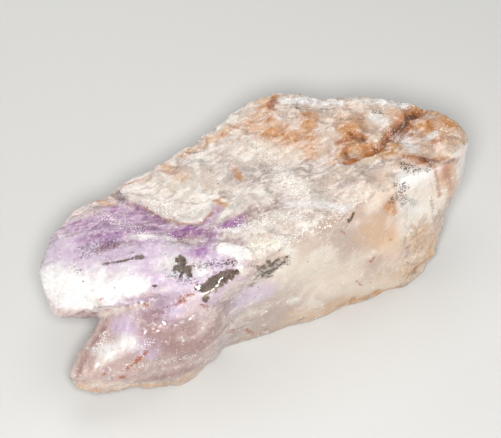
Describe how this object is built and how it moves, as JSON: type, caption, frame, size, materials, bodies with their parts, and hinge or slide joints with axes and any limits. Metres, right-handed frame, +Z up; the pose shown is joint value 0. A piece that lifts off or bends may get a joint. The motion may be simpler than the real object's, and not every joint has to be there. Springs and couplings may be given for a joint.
{
  "type": "amethyst crystal",
  "caption": "Rough broken piece of milky amethyst with a steep smooth wall, a sloping frosted top, a forked end and a flat underside to rest on.",
  "frame": {"origin": "middle of the bounding box in plan, at the level of the flat underside", "axes": "+X along the stone towards the overhanging head, +Y towards the thin back edge, +Z up"},
  "size_m": [0.0586, 0.0304, 0.0205],
  "materials": {
    "milky_amethyst": "glossy, translucent, milky quartz with violet zones and rust stains"
  },
  "bodies": {
    "root": {"amethyst_crystal": "milky_amethyst"}
  },
  "joints": []
}
